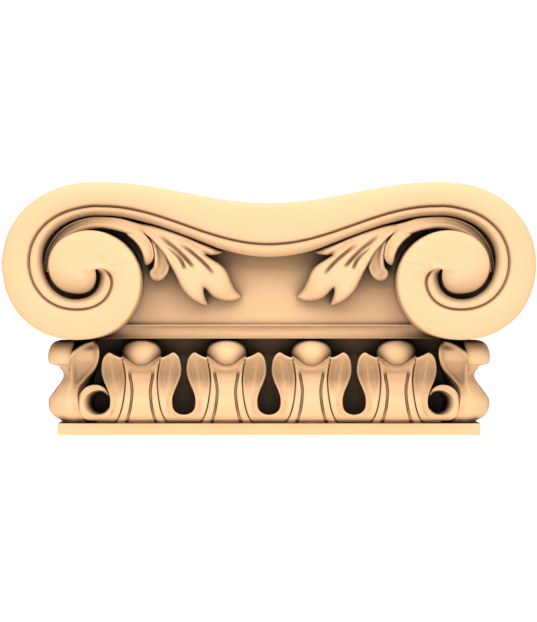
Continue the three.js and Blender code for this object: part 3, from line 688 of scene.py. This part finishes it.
def cornerCurl(gapAlong, side):  # rolls over the gap beside a corner leaf; side points away from the corner
    middleZ, foot = 16.2, 7
    inner = throughStops([[-100, 6], [0, 6], [90, 5.6], [160, 6.0], [235, 6.2]])
    outer = throughStops([[-100, 9.2], [0, 9.4], [60, 10.6], [120, 9.8], [160, 9.3], [235, 7.4]])
    angle = np.linspace(-60, 235, 80)[:, None]
    turn = np.radians(angle)
    u = np.linspace(0, 1, 13)[None]
    wall = np.linspace(1, 0, 6, endpoint=False)[None]  # the steep wall inside the ring, from its bottom
    fall = 3.0 * smoothStep(150, 235, angle)
    r = lerp(inner(angle), outer(angle), u)
    wallR = inner(angle) - 1.3 * wall
    along = np.concatenate([wallR * np.sin(turn) - 2.2 * wall, r * np.sin(turn)], 1)
    z = np.maximum(np.concatenate([middleZ - wallR * np.cos(turn), middleZ - r * np.cos(turn)], 1), foot)
    ring = 1.2 + 2.6 * np.sin(math.pi * np.clip(u, 0, 1))**0.7 - fall
    proud = np.concatenate([1.2 - fall - 14 * wall**1.3, ring], 1)
    proud = np.minimum(proud, profileProud(z) + 0.4)
    along = gapAlong - side * (0.6 + along)
    front = roundCourse(along, proud, z)
    back = roundCourse(along, np.full_like(proud, -bedInset - 0.5), z)
    return sheetSolid("cornerCurl", front, back, bodyParts)


def drawnIn(front, side):  # the hidden back of corner work, drawn in to a spot inside the bed
    anchor = np.array([side * (filletHalfWidth - bedInset - 4), filletOut - bedInset - 4])
    back = front.copy()
    back[..., :2] = anchor + (front[..., :2] - anchor) * 0.05
    return back


def cornerProud(s, z, edge):  # s runs round the corner from its middle
    r = np.abs(s)
    base = profileProud(z) - 4.5 * smoothStep(42, 47.8, z)
    base = base - 0.9 * np.minimum(r / 9, 1)**2 * (1 - smoothStep(22, 30, z))
    hollow = 2.2 * smoothStep(0.8, 3.0, edge) * smoothStep(4.2, 8, r) * smoothStep(22, 30, z)
    valley = 0.9 * np.exp(-((edge - 2.2) / 0.9)**2) * smoothStep(9, 13, z) * (1 - smoothStep(26, 31, z))
    strip = 0.7 * np.exp(-((r - 4) / 1.3)**2) * smoothStep(14, 24, z)
    rim = 0.35 * np.exp(-((edge - 0.8) / 0.6)**2)
    return base - hollow - valley + strip + rim - crisp(edge, 0.6, 0.6) * (z > 7.5)


def cornerLeaf(side):
    outerEdge = [[12, 6.4], [10.8, 9], [9, 14], [8.3, 20], [9, 24], [11.3, 27.2], [13.5, 29.5], [16.4, 32.6],
                 [18.2, 36], [19, 40], [18.6, 44.3], [16.6, 47], [15.6, 47.4]]
    innerEdge = [[15.6, 47.4], [11.5, 46.2], [7.5, 43.6], [4.6, 40], [3.4, 36.5], [3.2, 35], [2, 34.4],
                 [0, 34.2]]
    foot = evenly(np.array([[0, 6.4], [12, 6.4]]), 0.6)[:-1]
    half = np.concatenate([foot, stroke(outerEdge, 0.5), stroke(innerEdge, 0.5)])
    outline = np.concatenate([half, [[0, 34.2]], half[1:][::-1] * [-1, 1]])
    flat, triangles = patch(outline, courseSettings["spacing"], courseSettings["edgeRows"])
    proud = cornerProud(flat[:, 0], flat[:, 1], distanceTo(outline, flat, True))
    front = roundCourse(side * (cornerMiddle + flat[:, 0]), proud, flat[:, 1])
    patchSolid("cornerLeaf", triangles, toFrame(front), toFrame(drawnIn(front, side)), bodyParts)


def hook(side):  # the tongue that curls forward at the top of a corner leaf
    line = throughPoints([  # proud of the fillet, and height
        [-3.6, 26], [-3.4, 29], [-2.8, 31], [-0.5, 33], [1.8, 34.2], [5, 34.8], [7.3, 36], [7.8, 39.5],
        [6.6, 43.6], [4, 46.6], [0, 47.8]])
    v = np.linspace(0, 1, 50)[:, None]
    u = np.linspace(-1, 1, 21)[None]
    middle = line(v[:, 0])
    half = throughStops([[0, 2.6], [0.3, 3.2], [0.5, 4.2], [0.7, 5.4], [1, 7]])(v)
    hollow = 1.0 * (1 - u**2) * np.exp(-((v - 0.42) / 0.12)**2)
    proud = middle[:, :1] - 4.5 * u**2 * smoothStep(0.3, 0.5, v)
    front = roundCourse(side * (cornerMiddle + half * u), proud, middle[:, 1:] + hollow)
    across = np.broadcast_to(2.5 * u, proud.shape)
    root = np.full_like(proud, 0.5 - cornerRadius)
    back = roundCourse(side * (cornerMiddle + across), root, lerp(26, 47.8, v))
    sheetSolid("hook", front, back, bodyParts)


def addNode(tree, kind, settings=None, inputs=None, links=None):
    node = tree.nodes.new(kind)
    for key, value in (settings or {}).items():
        setattr(node, key, value)
    for key, value in (inputs or {}).items():
        node.inputs[key].default_value = value
    for key, source in (links or {}).items():
        tree.links.new(source, node.inputs[key])
    return node


def buildParts():
    scrollSheet()
    middleBlock()
    cavetto()
    filletTop, soffit = courseSettings["filletTop"], courseSettings["soffit"]
    bedHalf, bedOut = filletHalfWidth - bedInset + 1, filletOut - bedInset + 1
    easing = courseSettings["filletEasing"]
    box("fillet", -filletHalfWidth, filletHalfWidth, 0, filletOut, 0, filletTop, easing)
    for side in (-1, 1):  # a hidden block that closes most of the slit under each volute
        ends = sorted((side * soffit["inner"], side * soffit["outer"]))
        box("soffit", *ends, 0, soffit["out"], soffit["low"], soffit["high"])
    box("bed", -bedHalf, bedHalf, 0, bedOut, filletTop - 1, blockSettings["cavettoTop"])
    for side in (-1, 1):
        voluteEye(side)
        bolster(side)
        stem(side)
        firstLobe(side)
        tongue(side)
        blade(side)
        cornerLeaf(side)
        hook(side)
        cornerCurl(side * pitch * 2, -side)
        cornerCurl(side * (2 * cornerMiddle - 2 * pitch), side)
    leafUnit()
    unitEgg()


buildParts()


def linear(hexColour):  # sRGB hex to linear
    channels = [int(hexColour[i:i + 2], 16) / 255 for i in (1, 3, 5)]
    return (*[c / 12.92 if c <= 0.04045 else ((c + 0.055) / 1.055)**2.4 for c in channels], 1)


limewoodSettings = {  # lengths in metres; the painted shade in the recesses fills in between the two amounts of open sky
    "wood": "#e7bd90", "warmWood": "#dfb184", "shadeColour": "#1d1510", "roughness": 0.62, "gloss": 0.25,
    "shadeReach": 0.05, "fullShade": 0.08, "noShade": 0.97,
    "toneSpacing": 0.06, "fibreSpacing": 0.0012, "fibreHeight": 0.0002, "alongGrain": 0.12,
}


# Limewood carved, sanded and waxed matt, with painted shade darkening the deep cuts and recesses: pale warm
# faces with soft highlights and barely any grain, and each form drawn by the painted dark behind it. The
# fibres run along X.
# Real ones are far too fine to show, so they are drawn much coarser, at fibreSpacing.
def carvedLimewood():
    chosen = limewoodSettings
    material = bpy.data.materials.new("carvedLimewood")
    material.use_nodes = True
    tree = material.node_tree
    tree.nodes.clear()
    place = addNode(tree, "ShaderNodeTexCoord").outputs["Object"]
    grain = addNode(tree, "ShaderNodeMapping", inputs={"Scale": (chosen["alongGrain"], 1, 1)},
                    links={"Vector": place}).outputs["Vector"]
    tone = addNode(tree, "ShaderNodeTexNoise", inputs={"Scale": 1 / chosen["toneSpacing"], "Detail": 2.0},
                   links={"Vector": grain})
    fibre = addNode(tree, "ShaderNodeTexNoise", inputs={"Scale": 1 / chosen["fibreSpacing"], "Detail": 3.0},
                    links={"Vector": grain})
    woods = {6: linear(chosen["wood"]), 7: linear(chosen["warmWood"])}
    wood = addNode(tree, "ShaderNodeMix", {"data_type": "RGBA"}, woods, {0: tone.outputs["Fac"]})
    # Painted shade: an ambient-occlusion mask darkens the wood towards a near-black brown in deep cuts,
    # creases and recesses
    opening = addNode(tree, "ShaderNodeAmbientOcclusion", {"samples": 12, "only_local": True},
                      {"Distance": chosen["shadeReach"]})
    span = {"From Min": chosen["fullShade"], "From Max": chosen["noShade"], "To Min": 1.0, "To Max": 0.0}
    shadeCover = addNode(tree, "ShaderNodeMapRange", inputs=span, links={"Value": opening.outputs["AO"]})
    shadedWood = addNode(tree, "ShaderNodeMix", {"data_type": "RGBA"}, {7: linear(chosen["shadeColour"])},
                     {0: shadeCover.outputs["Result"], 6: wood.outputs[2]})
    bump = addNode(tree, "ShaderNodeBump", inputs={"Strength": 0.12, "Distance": chosen["fibreHeight"]},
                   links={"Height": fibre.outputs["Fac"]})
    shader = addNode(tree, "ShaderNodeBsdfPrincipled",
                     inputs={"Roughness": chosen["roughness"], "Specular IOR Level": chosen["gloss"]},
                     links={"Base Color": shadedWood.outputs[2], "Normal": bump.outputs["Normal"]})
    addNode(tree, "ShaderNodeOutputMaterial", links={"Surface": shader.outputs["BSDF"]})
    return material


limewood = carvedLimewood()


def courseCurve():  # the line that the leaf units stand along, round both corners to the wall
    end = straight + cornerLength
    wall = end + filletOut - cornerRadius
    half = [np.linspace(0, straight, 40), np.linspace(straight, end, 24)[1:], np.linspace(end, wall, 30)[1:]]
    half = np.concatenate(half)
    along = np.r_[-half[:0:-1], half]
    points = toFrame(roundCourse(along, np.zeros_like(along), np.zeros_like(along)))
    curve = bpy.data.curves.new("courseLine", "CURVE")
    curve.dimensions = "3D"
    spline = curve.splines.new("POLY")
    spline.points.add(len(points) - 1)
    for point, place in zip(spline.points, points):
        point.co = (*place, 1)
    line = bpy.data.objects.new("courseLine", curve)
    scene.collection.objects.link(line)
    return line


def carvingTree():
    tree = bpy.data.node_groups.new("carving", "GeometryNodeTree")
    face = tree.interface
    face.new_socket("Geometry", in_out="INPUT", socket_type="NodeSocketGeometry")
    named = {"Body parts": "Collection", "Unit parts": "Collection", "Course line": "Object", "Units": "Int",
             "Pitch": "Float", "Corner step": "Float", "Crease angle": "Float", "Wood": "Material"}
    sockets = {}
    for name, kind in named.items():
        socket = face.new_socket(name, in_out="INPUT", socket_type="NodeSocket" + kind)
        sockets[name] = socket.identifier
    face.new_socket("Geometry", in_out="OUTPUT", socket_type="NodeSocketGeometry")
    given = addNode(tree, "NodeGroupInput").outputs

    # Units are counted from the middle of the front, and those past a corner leaf step over it
    sums = "ShaderNodeMath"
    points = addNode(tree, "GeometryNodePoints", links={"Count": given["Units"]}).outputs[0]
    index = addNode(tree, "GeometryNodeInputIndex").outputs[0]
    last = addNode(tree, sums, {"operation": "SUBTRACT"}, {1: 1.0}, {0: given["Units"]}).outputs[0]
    half = addNode(tree, sums, {"operation": "MULTIPLY"}, {1: 0.5}, {0: last}).outputs[0]
    step = addNode(tree, sums, {"operation": "SUBTRACT"}, links={0: index, 1: half}).outputs[0]
    even = addNode(tree, sums, {"operation": "MULTIPLY"}, links={0: step, 1: given["Pitch"]}).outputs[0]
    away = addNode(tree, sums, {"operation": "ABSOLUTE"}, links={0: step}).outputs[0]
    turned = addNode(tree, sums, {"operation": "GREATER_THAN"}, {1: 2.0}, {0: away}).outputs[0]
    side = addNode(tree, sums, {"operation": "SIGN"}, links={0: even}).outputs[0]
    over = addNode(tree, sums, {"operation": "MULTIPLY"}, links={0: side, 1: turned}).outputs[0]
    skip = addNode(tree, sums, {"operation": "MULTIPLY"}, links={0: over, 1: given["Corner step"]})
    skip = skip.outputs[0]
    along = addNode(tree, sums, {"operation": "ADD"}, links={0: even, 1: skip}).outputs[0]
    line = addNode(tree, "GeometryNodeObjectInfo", links={"Object": given["Course line"]})
    line = line.outputs["Geometry"]
    whole = addNode(tree, "GeometryNodeCurveLength", links={"Curve": line}).outputs[0]
    middle = addNode(tree, sums, {"operation": "MULTIPLY"}, {1: 0.5}, {0: whole}).outputs[0]
    at = addNode(tree, sums, {"operation": "ADD"}, links={0: middle, 1: along}).outputs[0]
    sample = addNode(tree, "GeometryNodeSampleCurve", {"mode": "LENGTH"},
                     links={"Curves": line, "Length": at})
    facing = addNode(tree, "FunctionNodeAlignRotationToVector", {"axis": "X", "pivot_axis": "Z"},
                     links={"Vector": sample.outputs["Tangent"]})
    placed = addNode(tree, "GeometryNodeSetPosition",
                     links={"Geometry": points, "Position": sample.outputs["Position"]})

    # The parts of a unit are joined before it is repeated, then all is joined to one body
    pieces = addNode(tree, "GeometryNodeCollectionInfo", inputs={"Separate Children": True},
                     links={"Collection": given["Unit parts"]})
    unit = addNode(tree, "GeometryNodeMeshBoolean", {"operation": "UNION", "solver": "MANIFOLD"},
                   links={"Mesh": pieces.outputs[0]})
    units = addNode(tree, "GeometryNodeInstanceOnPoints", links={
        "Points": placed.outputs[0], "Instance": unit.outputs[0], "Rotation": facing.outputs[0]})
    parts = addNode(tree, "GeometryNodeCollectionInfo", inputs={"Separate Children": True},
                    links={"Collection": given["Body parts"]})
    joined = addNode(tree, "GeometryNodeMeshBoolean", {"operation": "UNION", "solver": "MANIFOLD"})
    for source in (parts, units):
        tree.links.new(source.outputs[0], joined.inputs["Mesh"])
    realised = addNode(tree, "GeometryNodeRealizeInstances", links={"Geometry": joined.outputs[0]})
    smooth = addNode(tree, "GeometryNodeSetShadeSmooth", links={"Geometry": realised.outputs[0]})
    angle = addNode(tree, "GeometryNodeInputMeshEdgeAngle").outputs["Unsigned Angle"]
    sharp = addNode(tree, sums, {"operation": "GREATER_THAN"}, links={0: angle, 1: given["Crease angle"]})
    creased = addNode(tree, "GeometryNodeSetShadeSmooth", {"domain": "EDGE"}, {"Shade Smooth": False},
                      {"Geometry": smooth.outputs[0], "Selection": sharp.outputs[0]})
    finished = addNode(tree, "GeometryNodeSetMaterial",
                       links={"Geometry": creased.outputs[0], "Material": given["Wood"]})
    addNode(tree, "NodeGroupOutput", links={"Geometry": finished.outputs[0]})
    return tree, sockets


def carve():
    holder = bpy.data.objects.new("carvedCapital", bpy.data.meshes.new("carvedCapital"))
    scene.collection.objects.link(holder)
    tree, sockets = carvingTree()
    modifier = holder.modifiers.new("carving", "NODES")
    modifier.node_group = tree
    line = courseCurve()
    values = {"Body parts": bodyParts, "Unit parts": unitParts, "Course line": line,
              "Units": courseSettings["units"], "Pitch": pitch / 1000, "Corner step": cornerStep / 1000,
              "Crease angle": math.radians(courseSettings["creaseDegrees"]), "Wood": limewood}
    for name, value in values.items():
        modifier[sockets[name]] = value
    seen = bpy.context.evaluated_depsgraph_get()
    mesh = bpy.data.meshes.new_from_object(holder.evaluated_get(seen))
    holder.modifiers.remove(modifier)
    bpy.data.objects.remove(line)
    holder.data = mesh
    mesh.name = "carvedCapital"
    return holder


capital = carve()
print("carving joined:", len(capital.data.polygons), "faces,",
      sum(len(face.vertices) - 2 for face in capital.data.polygons), "triangles")
for group in (bodyParts, unitParts):
    for part in list(group.objects):
        bpy.data.objects.remove(part)
    bpy.data.collections.remove(group)

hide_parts("capital")
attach(capital, "root")


stageSettings = {  # light distances in metres, camera lengths in millimetres
    "floor": "#ececea", "floorRadius": 0.35, "floorGlow": 0.66, "floorCorners": 96,
    "keyWidth": 1.0, "keyDepth": 0.36, "keyPower": 4.35, "keyHeight": 52.0, "keyDistance": 0.42,
    "keyAimZ": 0.06, "fill": 0.18, "backdrop": 1.2,
    "lens": 500.0, "sensor": 36.0, "imageHeight": 622, "viewScale": 0.5, "aimZ": 62.2, "aimX": -0.25,
}


def plainFloor():
    count, radius = stageSettings["floorCorners"], stageSettings["floorRadius"]
    angle = np.linspace(0, 2 * math.pi, count, endpoint=False)
    corners = [(radius * math.cos(a), radius * math.sin(a), capitalLow[2]) for a in angle]
    mesh = bpy.data.meshes.new("floor")
    mesh.from_pydata(corners, [], [list(range(count))])
    floor = bpy.data.objects.new("floor", mesh)
    scene.collection.objects.link(floor)
    material = bpy.data.materials.new("palePaint")
    material.use_nodes = True
    shader = material.node_tree.nodes["Principled BSDF"]
    shader.inputs["Base Color"].default_value = linear(stageSettings["floor"])
    shader.inputs["Roughness"].default_value = 0.9
    shader.inputs["Emission Color"].default_value = (1, 1, 1, 1)
    shader.inputs["Emission Strength"].default_value = stageSettings["floorGlow"]
    mesh.materials.append(material)
    return floor


plainFloor()


def keyLight():  # a wide soft light over the front
    chosen = stageSettings
    data = bpy.data.lights.new("key", "AREA")
    data.shape = "RECTANGLE"
    data.size = chosen["keyWidth"]
    data.size_y = chosen["keyDepth"]
    data.energy = chosen["keyPower"]
    light = bpy.data.objects.new("key", data)
    scene.collection.objects.link(light)
    lift, distance = math.radians(chosen["keyHeight"]), chosen["keyDistance"]
    light.location = (0, -distance * math.cos(lift), distance * math.sin(lift) + chosen["keyAimZ"])
    light.rotation_euler = (math.pi / 2 - lift, 0, 0)


keyLight()

world = bpy.data.worlds.new("studio")
scene.world = world
world.use_nodes = True
world.node_tree.nodes.clear()
# The camera sees a white backdrop, and the object gets only the soft fill
studio = world.node_tree
rays = addNode(studio, "ShaderNodeLightPath").outputs["Is Camera Ray"]
span = {"To Min": stageSettings["fill"], "To Max": stageSettings["backdrop"]}
strength = addNode(studio, "ShaderNodeMapRange", inputs=span, links={"Value": rays}).outputs["Result"]
sky = addNode(studio, "ShaderNodeBackground", inputs={"Color": (1, 1, 1, 1)}, links={"Strength": strength})
addNode(studio, "ShaderNodeOutputWorld", links={"Surface": sky.outputs[0]})

cameraData = bpy.data.cameras.new("camera")
cameraData.lens = stageSettings["lens"]
cameraData.sensor_width = stageSettings["sensor"]
cameraData.clip_end = 100
camera = bpy.data.objects.new("camera", cameraData)
scene.collection.objects.link(camera)
seenHeight = stageSettings["imageHeight"] * stageSettings["viewScale"]  # millimetres, at the band's face
away = stageSettings["lens"] / stageSettings["sensor"] * seenHeight
place = np.array([stageSettings["aimX"], wallY - faceOut - away, stageSettings["aimZ"]])
camera.location = (place / 1000).tolist()
camera.rotation_euler = (math.pi / 2, 0, 0)
scene.camera = camera
scene.view_settings.view_transform = "Standard"
print("stage set")
